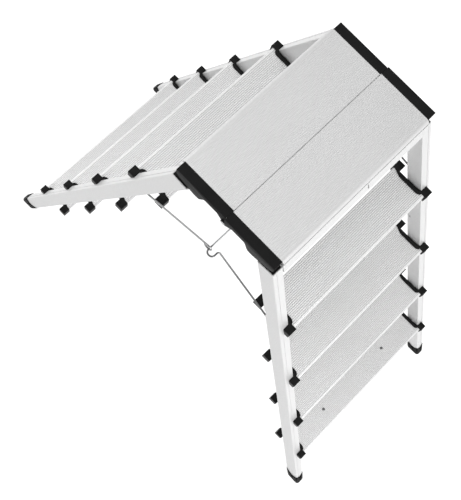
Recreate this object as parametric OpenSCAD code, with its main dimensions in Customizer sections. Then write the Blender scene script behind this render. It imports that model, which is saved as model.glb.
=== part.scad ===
// Double-sided step ladder with a folding platform and wire stays.
// X is the walking direction, Y the width and Z is up. The origin is on the floor under the
// middle of the platform. Section a stands on the -X side and section b on the +X side.
// The near side is -Y and the far side is +Y.

/* [Steps] */
// Height from one tread to the next
step_rise = 240; // [230:1:260]
// Horizontal run of a stile over one rise
stile_run = 97.7; // [92:0.1:104]
// Sideways spread of a stile over one rise
stile_spread = 15.7; // [12:0.1:20]

/* [Stiles] */
// Distance from the middle to the stiles' front faces at platform height
stile_front = 112.5; // [111:0.1:116]
// Distance from the middle to the stiles' outer faces at platform height
stile_out = 210.6; // [190:0.1:240]
// Width of the stile profile
stile_w = 25; // [24:0.5:30]
// Depth of the stile profile
stile_d = 38; // [36:0.5:42]
// Wall of the stile profile
stile_wall = 1.6; // [1.2:0.1:2.2]
// Edge chamfer of the stile profile
stile_edge = 1.2; // [0.6:0.1:2]
// Width of the groove along the stile's front face
groove_w = 2; // [1:0.1:3]
// Depth of the groove along the stile's front face
groove_d = 0.8; // [0.4:0.1:1]
// Distance of the groove from the stile's outer face
groove_in = 7.5; // [6:0.1:10]

/* [Treads] */
// Depth of a tread over its end caps
tread_d = 98; // [92:0.5:104]
// Height of a tread
tread_h = 22; // [20:0.5:26]
// Wall of the tread profile
tread_wall = 2; // [1.5:0.1:2.5]
// How far a tread stands out in front of the stiles
tread_front = 18.2; // [16:0.1:20]
// Set-back of the aluminium behind the end caps at the front and back
tread_inset = 5; // [3:0.1:6]
// Spacing of the grip ribs on treads and platform
rib_pitch = 4; // [3:0.5:6]
// Height of the grip ribs
rib_h = 0.8; // [0.4:0.1:1]
// Width of a grip rib's sloping side
rib_side = 0.9; // [0.3:0.1:1.1]
// Radius of the treads' front edge
tread_nose = 3; // [2:0.5:4]

/* [Tread end caps] */
// Gap between an end cap's plate and the stile's inner face
cap_gap = 3; // [1.5:0.1:4]
// Thickness of the end cap's plate
cap_plate = 1.8; // [1.5:0.1:2.5]
// Length of the end cap's blocks in the walking direction
block_l = 20; // [16:0.5:24]
// Set-back of the blocks from the stile's outer face
block_in = 9.9; // [8:0.1:14]
// Width of the end cap's flange over the tread
flange_w = 9.8; // [6:0.1:14]
// Thickness of the end cap's flange
flange_t = 1.2; // [1:0.1:1.6]
// Diameter of the rivets
rivet_d = 4.8; // [4:0.1:6]

/* [Platform] */
// Length of a platform side cap from the middle
side_l = 120; // [118:0.5:124]
// Width of a platform side cap
side_w = 20.4; // [19:0.1:24]
// Wall of a platform side cap
side_wall = 2.4; // [2:0.1:2.8]
// Set-back of half a's side caps from the stiles' outer faces
side_in = 1.1; // [0:0.1:2]
// How far half b's side caps lie outside those of half a
side_lap = 2.5; // [2.5:0.1:4]
// Half of the gap between the platform halves
middle_gap = 0.2; // [0.1:0.05:0.4]
// Depth of the side caps' skirt near the middle
skirt_low = 15; // [13:0.5:17]
// Depth of the side caps' skirt over the stile tops
skirt_deep = 37; // [34:0.5:40]
// Depth of the side caps' skirt at its ends
skirt_end = 26; // [24:0.5:28]
// Reach of the platform's nose beyond the side caps
nose_out = 5; // [3:0.5:7]
// Radius of the platform's nose
nose_r = 10; // [8:0.5:10]
// Wall of the platform's extrusion
deck_wall = 2.2; // [1.8:0.1:2.8]
// Depth of the platform's ribs below its top
deck_h = 16; // [12:0.5:18]

/* [Hinges] */
// Distance from the middle to the stile hinges
pivot_x = 90; // [88:0.5:92]
// Depth of the stile hinges below the platform
pivot_drop = 11; // [10.5:0.1:12]
// Depth of the middle hinge below the platform
middle_drop = 23; // [22:0.5:26]
// Diameter of the hinge pins
pin_d = 5; // [4:0.1:6]
// Radial clearance of a pin in its hole
pin_fit = 0.05; // [0.03:0.01:0.1]
// Plastic that covers the outer end of a hinge pin
pin_cover = 1; // [0.6:0.1:1.4]
// Radius of the middle hinge's round ears
ear_r = 7; // [5.5:0.1:8]
// Radius of the hinge lugs on the stile tops
lug_r = 6.5; // [5:0.1:7]
// Gap between moving faces
play = 0.3; // [0.2:0.05:0.5]

/* [Top rails] */
// Distance from the platform's top to the rail's top edge
rail_top = 32; // [30:0.5:36]
// Height of the rail between the stile tops
rail_h = 23; // [18:0.5:30]
// Thickness of the rail
rail_t = 2.5; // [2:0.1:3.5]
// Depth of the rail's lower flange
rail_flange = 16; // [12:0.5:18]

/* [Stays] */
// Diameter of the stay wire
wire_d = 3.8; // [3:0.1:4.5]
// Distance of the stay feet behind the stiles' front faces
stay_in = 36.2; // [35.5:0.1:37]
// Depth of the stay feet below the platform
stay_drop = 243.6; // [242:0.1:246]
// Distance of the side rods from the stiles' outer faces
rod_in = 6.4; // [6.2:0.1:6.8]
// Depth of the bail's cross bar below the platform
bar_drop = 191; // [188:0.5:194]
// Inner radius of the side rods' eyes
eye_r = 6.65; // [6.6:0.05:8]
// Width of the hairpin turns at the ends of the cross bar
turn_w = 17; // [16.6:0.1:18]

/* [Feet] */
// Wall of the rubber feet
foot_wall = 2; // [1.5:0.1:3]
// Thickness of the feet below the stiles
foot_sole = 8; // [5:0.5:12]
// Height of the feet
foot_h = 52; // [40:1:70]

/* [Hidden] */
$fn = 48;
eps = 0.01;
// Platform height: four treads and the platform make five rises.
top_z = 5 * step_rise;
lean = atan(stile_run / step_rise);
flare = atan(stile_spread / sqrt(stile_run * stile_run + step_rise * step_rise));
stile_run_d = stile_d / cos(lean);
alu = "gainsboro";
black = "dimgray";
steel = "silver";
// Size of the blocks that cut pieces off: larger than the whole ladder
far = 2 * top_z;

// Height of tread number n, counted from the top
function tread_z(n) = top_z - n * step_rise;
// Front and outer faces of a stile at height z
function front_x(z) = stile_front + (top_z - z) * stile_run / step_rise;
function outer_y(z) = stile_out + (top_z - z) * stile_spread / step_rise;
function inner_y(z) = outer_y(z) - stile_w / cos(flare);
function unit(v) = v / norm(v);
function reversed(v) = [for (i = [len(v) - 1:-1:0]) v[i]];

// Moves a child from the +X +Y corner to another corner of the ladder
module corner(x_side, y_side) {
    mirror([x_side < 0 ? 1 : 0, 0, 0])
        mirror([0, y_side < 0 ? 1 : 0, 0])
            children();
}

// Both ends of a piece, near and far
module both_ends() {
    children();
    mirror([0, 1, 0]) children();
}

// Frame of a stile: X is out of its front face, Y out of its outer face, Z up along it
module stile_frame() {
    translate([stile_front, stile_out, top_z])
        rotate([0, -lean, 0])
            rotate([flare, 0, 0])
                children();
}

// Stiles: hollow bars that lean back and spread outwards towards the floor
module stile_outline() {
    e = stile_edge;
    g = -groove_in;
    polygon([
        [0, -e], [0, g], [-groove_d, g], [-groove_d, g - groove_w], [0, g - groove_w],
        [0, e - stile_w], [-e, -stile_w], [e - stile_d, -stile_w], [-stile_d, e - stile_w],
        [-stile_d, -e], [e - stile_d, 0], [-e, 0]
    ]);
}

module stile_bar(grow) {
    stile_length = top_z / cos(lean) / cos(flare) + stile_d;
    stile_frame()
        translate([-stile_d - grow, -stile_w - grow, -stile_length])
            cube([stile_d + 2 * grow, stile_w + 2 * grow, stile_length + stile_d]);
}

// The stile's top is cut on a slope under the side cap's skirt, to clear it when folding.
head_gap = 2.5;
head_x = pivot_x - 4;
head_slope = 9.35;
function head_top(x) = top_z - skirt_deep - head_gap + (x - head_x) * tan(head_slope);
module above_head() {
    translate([head_x, 0, head_top(head_x)])
        rotate([0, -head_slope, 0])
            translate([-far / 2, 0, 0])
                cube([far, far, far]);
}

module below(z) {
    translate([0, 0, z - far]) cube([far, far, far]);
}

// The two rivets of a tread end lie either side of the stile's centre line
rivet_off = 9;
function rivet_z(n) = tread_z(n) - tread_h / 2;
function rivet_x(n, side) = front_x(rivet_z(n)) - stile_run_d / 2 + side * rivet_off;

module rivet_holes(n, y0, y1) {
    for (side = [-1, 1])
        translate([rivet_x(n, side), y0, rivet_z(n)])
            rotate([-90, 0, 0])
                cylinder(h = y1 - y0, d = rivet_d);
}

// Stay foot: where the wire passes through the rear wall
stay_z = top_z - stay_drop;
stay_x = front_x(stay_z) - stay_in;
rod_y = outer_y(stay_z) - rod_in;
// The bail's feet stand further out than the side rods', beside the rods' eyes.
leg_foot_y = rod_y + 1.8;
slot_w = wire_d + 1.2;
slot_low = 2;
slot_h = 38;
slot_back = 12;
// The bail's legs run inwards, so their slots are wider by this much on the inner side.
leg_drift = 2.6;
module stay_slot(y, drift) {
    translate([stay_x, y, stay_z])
        rotate([0, -lean, 0])
            translate([-slot_back, -slot_w / 2 - drift, -slot_low])
                cube([slot_back - 1, slot_w + drift, slot_h]);
}

module stile(foot_y, drift) {
    stile_length = top_z / cos(lean) / cos(flare) + stile_d;
    inner_x = stile_d - 2 * stile_wall;
    inner_w = stile_w - 2 * stile_wall;
    difference() {
        stile_frame()
            translate([0, 0, -stile_length])
                linear_extrude(stile_length)
                    difference() {
                        stile_outline();
                        translate([-stile_d + stile_wall, -stile_w + stile_wall])
                            square([inner_x, inner_w]);
                    }
        above_head();
        below(foot_sole);
        for (n = [1:4])
            rivet_holes(n, inner_y(rivet_z(n)) - 6, inner_y(rivet_z(n)) + 8);
        rail_rivet_holes();
        stay_slot(foot_y, drift);
    }
}

// The far stile of section b also holds one lone rivet in its inner face.
lone_down = 405;
lone_back = 31;
lone_d = 4;
module lone_rivet_axis() {
    stile_frame()
        translate([-lone_back, -stile_w, -lone_down])
            rotate([-90, 0, 0])
                children();
}

module stile_a_near() {
    color(alu) corner(-1, -1) stile(rod_y, 0);
}

module stile_a_far() {
    color(alu) corner(-1, 1) stile(rod_y, 0);
}

module stile_b_near() {
    color(alu) corner(1, -1) stile(leg_foot_y, leg_drift);
}

module stile_b_far() {
    color(alu)
        difference() {
            stile(leg_foot_y, leg_drift);
            lone_rivet_axis() translate([0, 0, -4]) cylinder(h = 10, d = lone_d);
        }
}

module stile_rivet_b() {
    color(steel)
        lone_rivet_axis() {
            translate([0, 0, -1.4]) cylinder(h = 1.4, d = 2 * lone_d);
            translate([0, 0, -eps]) cylinder(h = 4, d = lone_d);
        }
}

// Rail between the stile tops: an angle with a tab at each end
rail_y = inner_y(top_z - rail_top - rail_h) - 1.8;
rail_edge_z = top_z - rail_top;
rail_tab_h = 13;
rail_slot_y = 36;
rail_rivet_d = 4;
rail_slot = [3, 14];

module rail_frame() {
    translate([front_x(rail_edge_z), 0, rail_edge_z])
        rotate([0, -lean, 0])
            children();
}

module rail_rivet_holes() {
    rail_frame()
        translate([-rail_flange / 2, rail_y - 8, -rail_h + rail_tab_h / 2])
            rotate([-90, 0, 0])
                cylinder(h = 24, d = rail_rivet_d);
}

module rail(with_slot) {
    difference() {
        rail_frame() {
            translate([-rail_t, -rail_y, -rail_h]) cube([rail_t, 2 * rail_y, rail_h]);
            translate([-rail_flange, -rail_y, -rail_h]) cube([rail_flange, 2 * rail_y, rail_t]);
            both_ends()
                translate([-rail_flange, rail_y - rail_t, -rail_h])
                    cube([rail_flange, rail_t, rail_tab_h]);
        }
        rail_frame()
            if (with_slot)
                translate([-rail_t - 1, rail_slot_y - rail_slot[0] / 2, -rail_h / 2 - rail_slot[1] / 2])
                    cube([rail_t + 2, rail_slot[0], rail_slot[1]]);
        both_ends() stile_bar(0.05);
        both_ends() rail_rivet_holes();
    }
}

module rail_a() {
    color(alu) corner(-1, 1) rail(false);
}

module rail_b() {
    color(alu) rail(true);
}

// A hollow profile, open below, with a row of ribs on top. x runs from 0 at the back.
function rib_points(from, to, h) =
    [for (x = [from:rib_pitch:to - rib_pitch / 2 - rib_side])
        each [
            [x, -h], [x + rib_side, 0],
            [x + rib_pitch / 2, 0], [x + rib_pitch / 2 + rib_side, -h]
        ]];

tread_back = tread_inset;
tread_len = tread_d - 2 * tread_inset;
tread_leg_1 = 25;
tread_leg_2 = tread_len - 11;
lip = 7;

module tread_section() {
    t = tread_wall;
    low = -rib_h - flange_t;
    r = tread_nose;
    polygon(reversed(concat(
        [[0, low - t], [0, low]],
        [for (p = rib_points(2, tread_len - r, rib_h)) [p[0], p[1] - flange_t]],
        [for (i = [0:6])
            [tread_len - r + r * sin(15 * i), low - r + r * cos(15 * i)]],
        [[tread_len, low - r - t], [tread_len - t, low - r - t], [tread_len - t, low - t]]
    )));
    translate([0, -tread_h]) square([t, tread_h + low]);
    translate([tread_len - t, -tread_h]) square([t, tread_h + low - r]);
    translate([0, -tread_h]) square([lip, t]);
    translate([tread_len - lip, -tread_h]) square([lip, t]);
    for (x = [tread_leg_1, tread_leg_2])
        translate([x, -tread_h]) square([t, tread_h + low]);
}

function tread_x(n) = front_x(tread_z(n)) + tread_front - tread_d;
function plate_y(n) = inner_y(tread_z(n)) - cap_gap;
function tread_y(n) = plate_y(n) - cap_plate;

module tread(n) {
    translate([tread_x(n) + tread_back, tread_y(n), tread_z(n)])
        rotate([90, 0, 0])
            linear_extrude(2 * tread_y(n))
                tread_section();
}

module tread_a1() { color(alu) corner(-1, 1) tread(1); }
module tread_a2() { color(alu) corner(-1, 1) tread(2); }
module tread_a3() { color(alu) corner(-1, 1) tread(3); }
module tread_a4() { color(alu) corner(-1, 1) tread(4); }
module tread_b1() { color(alu) tread(1); }
module tread_b2() { color(alu) tread(2); }
module tread_b3() { color(alu) tread(3); }

// Two screws stand in the lowest tread of section b.
screw_y = 122;
screw_x = tread_d / 2 + 0.5;
screw_d = 4;
module screw_axis(side) {
    translate([tread_x(4) + screw_x, side * screw_y, tread_z(4) - flange_t])
        children();
}

module tread_b4() {
    color(alu)
        difference() {
            tread(4);
            for (side = [-1, 1])
                screw_axis(side) translate([0, 0, -8]) cylinder(h = 12, d = screw_d);
        }
}

module tread_screws_b() {
    color(steel)
        for (side = [-1, 1])
            screw_axis(side) {
                cylinder(h = 1.4, d = 2 * screw_d);
                translate([0, 0, -8]) cylinder(h = 8 + eps, d = screw_d);
                translate([0, 0, -rib_h - tread_wall - 3.2]) cylinder(h = 3.2, d = 7, $fn = 6);
            }
}

// The plate closes the tread's end, its flange laps over the tread, and a block stands at
// the front and at the back of the stile.
module end_cap(n) {
    z = tread_z(n);
    x = tread_x(n);
    y = plate_y(n);
    y_block = outer_y(z) - block_in;
    w = cap_plate;
    f = flange_w - w;
    front = tread_d - block_l;
    difference() {
        union() {
            translate([x, y - w, z - tread_h]) cube([tread_d, w, tread_h]);
            translate([x, y - eps, z - tread_h]) cube([block_l, y_block - y, tread_h]);
            translate([x + tread_d - block_l, y - eps, z - tread_h])
                cube([block_l, y_block - y, tread_h]);
            translate([0, 0, z - flange_t])
                linear_extrude(flange_t)
                    translate([x, y - w])
                        polygon([
                            [0, eps], [block_l / 2, -1], [block_l + 1, -0.7 * f],
                            [block_l + 7, -0.95 * f], [block_l + 12, -f],
                            [front - 5, -f], [front, -0.9 * f],
                            [front + 5, -0.5 * f], [front + 7, eps]
                        ]);
            for (side = [-1, 1])
                translate([rivet_x(n, side), y - eps, rivet_z(n)])
                    rotate([-90, 0, 0])
                        cylinder(h = 12, r = rivet_d);
            tread_plugs(n);
        }
        stile_bar(0.05);
        rivet_holes(n, y - 30, y + 20);
    }
}

// Blocks of the end cap that fit inside the hollow tread
plug_reach = 12;
plug_fit = 0.15;
plug_w = 14;
module tread_plugs(n) {
    h = tread_h - flange_t - rib_h - tread_wall - 0.6;
    x0 = tread_x(n) + tread_back;
    for (p = [
        [lip + plug_fit, tread_leg_1 - plug_fit],
        [tread_leg_1 + tread_wall + plug_fit, tread_leg_1 + tread_wall + plug_w]
    ])
        translate([x0 + p[0], tread_y(n) - plug_reach, tread_z(n) - tread_h + 0.3])
            cube([p[1] - p[0], plug_reach + eps, h]);
}

module end_cap_a1_near() { color(black) corner(-1, -1) end_cap(1); }
module end_cap_a1_far() { color(black) corner(-1, 1) end_cap(1); }
module end_cap_a2_near() { color(black) corner(-1, -1) end_cap(2); }
module end_cap_a2_far() { color(black) corner(-1, 1) end_cap(2); }
module end_cap_a3_near() { color(black) corner(-1, -1) end_cap(3); }
module end_cap_a3_far() { color(black) corner(-1, 1) end_cap(3); }
module end_cap_a4_near() { color(black) corner(-1, -1) end_cap(4); }
module end_cap_a4_far() { color(black) corner(-1, 1) end_cap(4); }
module end_cap_b1_near() { color(black) corner(1, -1) end_cap(1); }
module end_cap_b1_far() { color(black) end_cap(1); }
module end_cap_b2_near() { color(black) corner(1, -1) end_cap(2); }
module end_cap_b2_far() { color(black) end_cap(2); }
module end_cap_b3_near() { color(black) corner(1, -1) end_cap(3); }
module end_cap_b3_far() { color(black) end_cap(3); }
module end_cap_b4_near() { color(black) corner(1, -1) end_cap(4); }
module end_cap_b4_far() { color(black) end_cap(4); }

// Blind rivets through the end cap's plate and the stile's inner wall, and a longer one at
// each rail end that also holds the moulded head
module rivets() {
    for (n = [1:4], side = [-1, 1]) {
        head_y = tread_y(n);
        wall_y = inner_y(rivet_z(n)) + stile_wall;
        translate([rivet_x(n, side), head_y, rivet_z(n)])
            rotate([-90, 0, 0]) {
                translate([0, 0, -1.5]) cylinder(h = 1.5, d = 2 * rivet_d);
                cylinder(h = wall_y - head_y + 2, d = rivet_d);
                translate([0, 0, wall_y - head_y + 1]) cylinder(h = 2, d = 1.5 * rivet_d);
            }
    }
    rail_rivet();
}

module rail_rivet() {
    rail_frame()
        translate([-rail_flange / 2, rail_y - rail_t, -rail_h + rail_tab_h / 2])
            rotate([-90, 0, 0]) {
                translate([0, 0, -1.3]) cylinder(h = 1.3, d = 1.9 * rail_rivet_d);
                cylinder(h = rail_t + 12, d = rail_rivet_d);
            }
}

module tread_rivets_a() {
    color(steel) {
        corner(-1, 1) rivets();
        corner(-1, -1) rivets();
    }
}

module tread_rivets_b() {
    color(steel) both_ends() rivets();
}

// Moulded heads in the stile tops, with the lug of the stile hinge
pivot_z = top_z - pivot_drop;
head_low = 70;
// The lug leans forward to stand on the stile.
lug_foot = pivot_x + 5;
head_fit = 0.1;
// Outer face of a side cap: half b lies outside half a
function side_out(half) = stile_out - side_in + half * side_lap;
function lug_in(half) = side_out(half) - side_w + side_wall + play;
function lug_out(half) = side_out(half) - side_wall - play;

module head(half) {
    y0 = lug_in(half);
    y1 = lug_out(half);
    skin = stile_wall + head_fit;
    difference() {
        union() {
            difference() {
                stile_frame()
                    translate([-stile_d + skin, -stile_w + skin, -head_low])
                        cube([stile_d - 2 * skin, stile_w - 2 * skin, head_low]);
                above_head();
            }
            translate([0, y1, 0])
                rotate([90, 0, 0])
                    linear_extrude(y1 - y0) {
                        translate([pivot_x, pivot_z]) circle(r = lug_r);
                        polygon([
                            [pivot_x - lug_r, pivot_z], [pivot_x + lug_r, pivot_z],
                            [lug_foot + lug_r, head_top(lug_foot + lug_r) - 1],
                            [lug_foot - lug_r + 2, head_top(lug_foot - lug_r + 2) - 1]
                        ]);
                    }
        }
        translate([pivot_x, y0 - 1, pivot_z])
            rotate([-90, 0, 0])
                cylinder(h = y1 - y0 + 2, r = pin_d / 2 + pin_fit);
        rail_rivet_holes();
    }
}

module head_a_near() { color(black) corner(-1, -1) head(0); }
module head_a_far() { color(black) corner(-1, 1) head(0); }
module head_b_near() { color(black) corner(1, -1) head(1); }
module head_b_far() { color(black) head(1); }

// Rubber feet, cut level with the floor and with a wavy top edge
side_wave_r = stile_d / 2 + 3;
end_wave_r = stile_w / 2 + 2.5;
wave_h = 3.5;
foot_bevel = 4;
module foot() {
    w = foot_wall;
    stile_length = top_z / cos(lean) / cos(flare);
    difference() {
        stile_frame()
            translate([-stile_d - w, -stile_w - w, -stile_length - stile_d])
                cube([stile_d + 2 * w, stile_w + 2 * w, foot_h + stile_d]);
        below(0);
        difference() {
            stile_bar(0.1);
            below(foot_sole);
        }
        // hollows of the wavy top edge, front to back and side to side
        stile_frame()
            translate([-stile_d / 2, 0, -stile_length + foot_h + side_wave_r - wave_h])
                rotate([90, 0, 0])
                    cylinder(h = 4 * stile_d, r = side_wave_r, center = true);
        stile_frame()
            translate([0, -stile_w / 2, -stile_length + foot_h + end_wave_r - wave_h])
                rotate([0, 90, 0])
                    cylinder(h = 4 * stile_d, r = end_wave_r, center = true);
        // bevelled front outer edge
        stile_frame()
            translate([w, w, -stile_length - stile_d])
                rotate([0, 0, 45])
                    cube([foot_bevel, foot_bevel, 4 * foot_h], center = true);
    }
}

module foot_a_near() { color(black) corner(-1, -1) foot(); }
module foot_a_far() { color(black) corner(-1, 1) foot(); }
module foot_b_near() { color(black) corner(1, -1) foot(); }
module foot_b_far() { color(black) foot(); }

// Bumpers on the stiles' rear faces
bumper_t = 3.5;
bumper_w = 12;
bumper_top_a = 32;
bumper_h_a = 44;
bumper_top_b = 47;
bumper_h_b = 24;
module bumper(top, h) {
    stile_frame()
        translate([-stile_d - bumper_t, -stile_w / 2 - bumper_w / 2, -top - h])
            cube([bumper_t, bumper_w, h]);
}

module bumpers_a() {
    color(black) {
        corner(-1, 1) bumper(bumper_top_a, bumper_h_a);
        corner(-1, -1) bumper(bumper_top_a, bumper_h_a);
    }
}

module bumpers_b() {
    color(black) both_ends() bumper(bumper_top_b, bumper_h_b);
}

// Clips that hold the stay feet inside the stiles
clip_l = 9;
clip_half = 6;
clip_d = 10;
bend_r = 4;
module clip(wire_y) {
    y1 = wire_y - bend_r - play;
    depth = (front_x(stay_z) - stay_x) * cos(lean);
    back = stile_d - stile_wall - depth;
    translate([stay_x, 0, stay_z])
        difference() {
            rotate([0, -lean, 0])
                translate([-back, y1 - clip_l, -clip_half])
                    cube([clip_d, clip_l, 2 * clip_half]);
            translate([0, y1 - clip_l - 5, 0])
                rotate([-90, 0, 0])
                    cylinder(h = clip_l + 10, r = wire_d / 2 + pin_fit);
        }
}

module stay_clips_a() {
    color(black) {
        corner(-1, 1) clip(rod_y);
        corner(-1, -1) clip(rod_y);
    }
}

module stay_clips_b() {
    color(black) both_ends() clip(leg_foot_y);
}

// Platform halves: a ribbed deck between moulded side caps
deck_front = side_l + nose_out;
nose_low = 11.5;
web_gap = 0.4;
deck_ribs = [side_l / 3, side_l * 0.63, side_l * 0.87];
function deck_y(half) = side_out(half) - side_w;

// Points along the rounded nose, from its top to its front
function nose_arc(r, n) =
    [for (i = [0:n])
        [deck_front - nose_r + r * sin(90 * i / n), -nose_r + r * cos(90 * i / n)]];

module deck_section() {
    t = deck_wall;
    x0 = middle_gap + web_gap;
    x1 = deck_front - nose_r;
    polygon(reversed(concat(
        [[x0, -t - rib_h], [x0, -rib_h]],
        rib_points(x0 + 1.5, x1 - 2, rib_h / 2),
        nose_arc(nose_r, 12),
        [[deck_front, -nose_low], [deck_front - t, -nose_low]],
        reversed(nose_arc(nose_r - t, 12)),
        [[x1 - 1, -t - rib_h]]
    )));
    translate([x0, -deck_h + 4]) square([t, deck_h - 4 - rib_h - t / 2]);
    for (x = deck_ribs)
        translate([x, -deck_h]) square([t, deck_h - rib_h - t / 2]);
}

module deck(half) {
    y = deck_y(half);
    translate([0, y, top_z])
        rotate([90, 0, 0])
            linear_extrude(2 * y)
                deck_section();
}

module deck_a() { color(alu) corner(-1, 1) deck(0); }
module deck_b() { color(alu) deck(1); }

// The skirt deepens on an S-curve and is deepest just before the stile hinge.
s_start = pivot_x - 42;
s_end = pivot_x - 26;
deep_start = pivot_x - 22;
deep_end = pivot_x - 15;
end_cut = 8;
end_rise = 10;
function s_curve(n) =
    [for (i = [n:-1:0])
        [
            s_start + (s_end - s_start) * i / n,
            -skirt_low - (skirt_deep - 0.5 - skirt_low) * (1 - cos(180 * i / n)) / 2
        ]];

module skirt_outline() {
    polygon(concat(
        [
            [middle_gap, 0], [side_l, 0], [side_l, -skirt_end + end_rise],
            [side_l - end_cut, -skirt_end], [deep_end, -skirt_deep], [deep_start, -skirt_deep]
        ],
        s_curve(8),
        [[middle_gap, -skirt_low]]
    ));
}

// The inner wall is low, with a round boss for the hinge pin.
wall_low = 12;
boss_r = 10;
module wall_outline() {
    end = side_l - side_wall;
    polygon([[middle_gap, 0], [end, 0], [end, -wall_low], [middle_gap, -wall_low]]);
    translate([pivot_x, -pivot_drop]) circle(r = boss_r);
}

// Upright plate in the walking direction between two distances from the middle
module upright(y0, y1) {
    translate([0, y1, top_z])
        rotate([90, 0, 0])
            linear_extrude(y1 - y0)
                children();
}

ear_l = 20;
ledge_w = 12;
ledge_h = 3;
ledge_gap = 3;
module side_cap(half) {
    out = side_out(half);
    w = side_wall;
    cheek = w - half * (play - 0.1);
    lug = lug_in(half);
    difference() {
        union() {
            // roof
            translate([middle_gap, out - side_w, top_z - w])
                cube([side_l - middle_gap, side_w, w]);
            upright(out - cheek, out) skirt_outline();
            upright(out - side_w, out - side_w + w) wall_outline();
            // end wall
            translate([side_l - w, out - side_w, top_z - skirt_end + end_rise])
                cube([w, side_w, skirt_end - end_rise]);
            // ear of the middle hinge
            upright(out - cheek, out) {
                translate([0, -middle_drop]) circle(r = ear_r);
                polygon([
                    [middle_gap, 1 - skirt_low], [ear_l, 1 - skirt_low], [ear_l, -skirt_low],
                    [0.7 * ear_r, -middle_drop - 0.7 * ear_r], [middle_gap, -middle_drop + 4]
                ]);
            }
            // ledges under the platform's plate
            for (n = [0:2]) {
                x0 = n == 0 ? 2 * ledge_gap : deck_ribs[n - 1] + deck_wall + ledge_gap;
                translate([x0, out - side_w - ledge_w, top_z - rib_h - deck_wall - ledge_h])
                    cube([deck_ribs[n] - ledge_gap - x0, ledge_w + eps, ledge_h]);
            }
        }
        translate([pivot_x, out - side_w - 1, pivot_z])
            rotate([-90, 0, 0])
                cylinder(h = side_w + 1 - pin_cover, r = pin_d / 2 + pin_fit);
        translate([0, out - 6, top_z - middle_drop])
            rotate([-90, 0, 0])
                cylinder(h = 8, r = pin_d / 2 + pin_fit);
    }
}

module side_cap_a_near() { color(black) corner(-1, -1) side_cap(0); }
module side_cap_a_far() { color(black) corner(-1, 1) side_cap(0); }
module side_cap_b_near() { color(black) corner(1, -1) side_cap(1); }
module side_cap_b_far() { color(black) side_cap(1); }

module hinge_pin(half) {
    out = side_out(half);
    translate([pivot_x, out - side_w, pivot_z])
        rotate([-90, 0, 0])
            cylinder(h = side_w - pin_cover - pin_fit, d = pin_d);
}

module hinge_pins_a() {
    color(steel) {
        corner(-1, 1) hinge_pin(0);
        corner(-1, -1) hinge_pin(0);
    }
}

module hinge_pins_b() {
    color(steel) both_ends() hinge_pin(1);
}

module middle_pins() {
    y0 = side_out(0) - side_wall;
    y1 = side_out(1);
    color(steel)
        both_ends()
            translate([0, y0, top_z - middle_drop])
                rotate([-90, 0, 0]) {
                    translate([0, 0, -1.5]) cylinder(h = 1.5, d = 1.8 * pin_d);
                    cylinder(h = y1 - y0, d = pin_d);
                    translate([0, 0, y1 - y0 + 0.2]) cylinder(h = 1, d = 1.8 * pin_d);
                    translate([0, 0, y1 - y0 - eps]) cylinder(h = 0.3, d = pin_d);
                }
}

// Wire stays: two side rods hang on the cross bar of a bail
bar_z = top_z - bar_drop;
knee_y = outer_y(bar_z) - 12;
turn_y = outer_y(bar_z) + 7;
turn_r = turn_w / 2 - 0.5;
knee_r = 5;
stay_rise = atan((bar_z - stay_z) / stay_x);
// The eye's middle lies behind and above the cross bar, measured along and across the rod.
eye_back = 3.4;
eye_up = 2.8;
eye_c = [
    -eye_back * cos(stay_rise) - eye_up * sin(stay_rise),
    bar_z - eye_back * sin(stay_rise) + eye_up * cos(stay_rise)
];

// A bend swells the wire a little, and the straight runs reach this far into it.
bend_swell = 0.03;
overlap = 0.25;

// Straight round wire between two points
module wire(p, q) {
    v = q - p;
    translate(p)
        rotate([0, acos(v[2] / norm(v)), atan2(v[1], v[0])])
            cylinder(h = norm(v), d = wire_d);
}

function turn(a, b, c) = acos(unit(b - a) * unit(c - b));
function cut_back(a, b, c, r) = r * tan(turn(a, b, c) / 2);

// Quarter or part of a ring that joins two straight runs at point b
module wire_bend(a, b, c, r) {
    u = unit(b - a);
    w = unit(c - b);
    n = unit(cross(u, w));
    t = turn(a, b, c);
    m = b + unit(w - u) * (r / cos(t / 2));
    e = (b - u * cut_back(a, b, c, r) - m) / r;
    multmatrix([
        [e[0], u[0], n[0], m[0]],
        [e[1], u[1], n[1], m[1]],
        [e[2], u[2], n[2], m[2]],
        [0, 0, 0, 1]
    ])
        rotate_extrude(angle = t)
            translate([r, 0])
                circle(d = wire_d + bend_swell);
}

// Bent wire along a list of points, with the bend radius of each inner point
module bent_wire(p, r) {
    last = len(p) - 1;
    for (i = [0:last - 1]) {
        u = unit(p[i + 1] - p[i]);
        start = i == 0 ? 0 : cut_back(p[i - 1], p[i], p[i + 1], r[i]) - overlap;
        stop = i + 1 == last ? 0 : cut_back(p[i], p[i + 1], p[i + 2], r[i + 1]) - overlap;
        wire(p[i] + u * start, p[i + 1] - u * stop);
    }
    for (i = [1:last - 1])
        wire_bend(p[i - 1], p[i], p[i + 1], r[i]);
}

// Side rod on the +X side before it is mirrored to section a. Its end is curled to an eye.
module side_rod() {
    eye_m = eye_r + wire_d / 2;
    to_eye = [-eye_c[0] - stay_x, eye_c[1] - stay_z];
    dist = norm(to_eye);
    run = sqrt(dist * dist - eye_m * eye_m);
    heading = atan2(to_eye[1], to_eye[0]) - asin(eye_m / dist);
    curl = 360 - acos(1 - (wire_d + 0.3) / eye_m);
    bent_wire(
        [
            [stay_x, rod_y - bend_r - clip_l - 1, stay_z],
            [stay_x, rod_y, stay_z],
            [stay_x + (run + overlap) * cos(heading), rod_y, stay_z + (run + overlap) * sin(heading)]
        ],
        [0, bend_r, 0]
    );
    translate([-eye_c[0], rod_y, eye_c[1]])
        rotate([90, 0, 0])
            rotate([0, 0, heading - 90])
                rotate_extrude(angle = curl)
                    translate([eye_m, 0])
                        circle(d = wire_d + bend_swell);
}

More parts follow.
